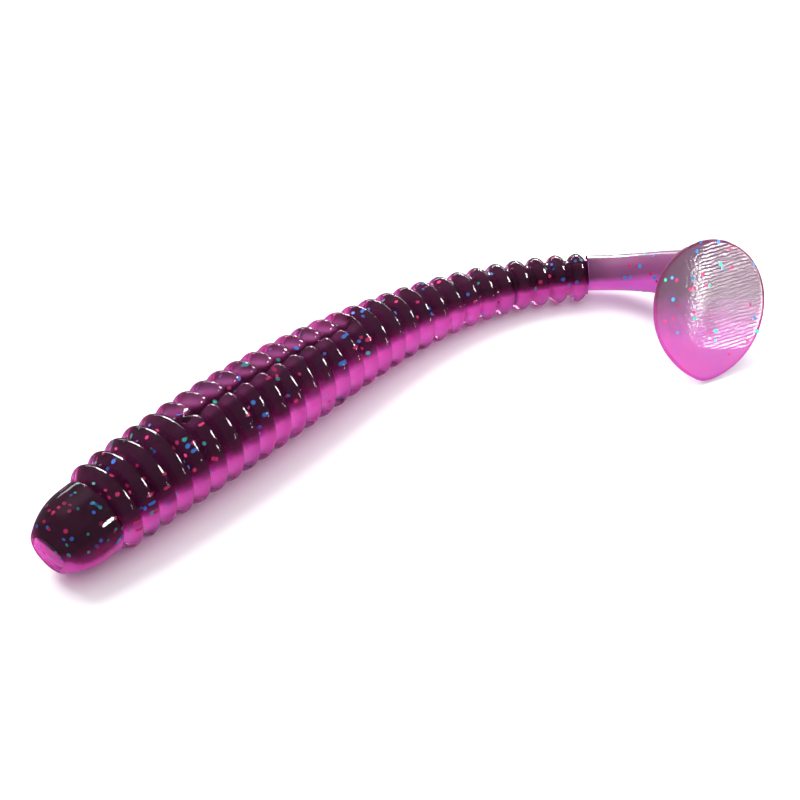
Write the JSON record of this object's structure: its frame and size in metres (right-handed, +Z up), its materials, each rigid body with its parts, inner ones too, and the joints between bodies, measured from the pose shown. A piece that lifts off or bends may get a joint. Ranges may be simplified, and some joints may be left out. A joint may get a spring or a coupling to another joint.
{
  "type": "soft plastic fishing worm",
  "caption": "Ribbed soft plastic paddle-tail worm with a smooth dished head, hook slot along the back and thin stem to a spade-shaped paddle, poured dark over pink.",
  "frame": {"origin": "middle of the bounding box in plan, on the surface the worm lies on", "axes": "+Z up out of the back, +X from the head towards the tail end of the curled worm, +Y towards the outside of the bend"},
  "size_m": [0.0832, 0.054, 0.0147],
  "materials": {
    "back_plastic": "wet-looking gloss, smoky purple translucent soft plastic with blue, green and red glitter",
    "belly_plastic": "wet-looking gloss, translucent magenta soft plastic with sparse glitter"
  },
  "bodies": {
    "head": {"head_back": "back_plastic", "head_belly": "belly_plastic"},
    "front_ribs": {"front_ribs_back": "back_plastic", "front_ribs_belly": "belly_plastic"},
    "slot_front": {"slot_front_back": "back_plastic", "slot_front_belly": "belly_plastic"},
    "slot_rear": {"slot_rear_back": "back_plastic", "slot_rear_belly": "belly_plastic"},
    "mid_ribs": {"mid_ribs_back": "back_plastic", "mid_ribs_belly": "belly_plastic"},
    "rear_ribs": {"rear_ribs_back": "back_plastic", "rear_ribs_belly": "belly_plastic"},
    "stem_front": {"stem_front_back": "back_plastic", "stem_front_belly": "belly_plastic"},
    "stem_rear": {"stem_rear_back": "back_plastic", "stem_rear_belly": "belly_plastic"},
    "paddle": {"paddle_back": "back_plastic", "paddle_belly": "belly_plastic"}
  },
  "joints": [
    {"name": "neck_swing", "type": "hinge", "parent": "head", "child": "front_ribs", "pos_m": [-0.03471, -0.01959, 0.00534], "axis": [-0.0334, -0.0378, 0.9987], "range_deg": [-8, 8], "stiffness_Nm_per_rad": 0.004},
    {"name": "front_swing", "type": "hinge", "parent": "front_ribs", "child": "slot_front", "pos_m": [-0.02617, -0.01047, 0.00573], "axis": [-0.0081, -0.0084, 0.9999], "range_deg": [-8, 8], "stiffness_Nm_per_rad": 0.005},
    {"name": "slot_swing", "type": "hinge", "parent": "slot_front", "child": "slot_rear", "pos_m": [-0.01575, 0.00033, 0.00547], "axis": [0.0335, 0.0347, 0.9988], "range_deg": [-9, 9], "stiffness_Nm_per_rad": 0.004},
    {"name": "waist_swing", "type": "hinge", "parent": "slot_rear", "child": "mid_ribs", "pos_m": [-0.00699, 0.00924, 0.00464], "axis": [0.0565, 0.0544, 0.9969], "range_deg": [-10, 10], "stiffness_Nm_per_rad": 0.0025},
    {"name": "rear_swing", "type": "hinge", "parent": "mid_ribs", "child": "rear_ribs", "pos_m": [0.0047, 0.01859, 0.00349], "axis": [0.0548, 0.0337, 0.9979], "range_deg": [-12, 12], "stiffness_Nm_per_rad": 0.0012},
    {"name": "stem_root_swing", "type": "hinge", "parent": "rear_ribs", "child": "stem_front", "pos_m": [0.02111, 0.02415, 0.00293], "axis": [0, 0, 1], "range_deg": [-20, 20], "stiffness_Nm_per_rad": 0.0003},
    {"name": "stem_middle_swing", "type": "hinge", "parent": "stem_front", "child": "stem_rear", "pos_m": [0.02942, 0.02168, 0.00559], "axis": [-0.2023, 0.4868, 0.8497], "range_deg": [-18, 18], "stiffness_Nm_per_rad": 0.0003},
    {"name": "paddle_swing", "type": "hinge", "parent": "stem_rear", "child": "paddle", "pos_m": [0.03449, 0.01541, 0.00986], "axis": [0.1387, 0.4241, 0.8949], "range_deg": [-25, 25], "stiffness_Nm_per_rad": 0.0002}
  ],
  "couplings": [
    {"joint": "stem_middle_swing", "follows": "stem_root_swing", "ratio": 0.9}
  ]
}
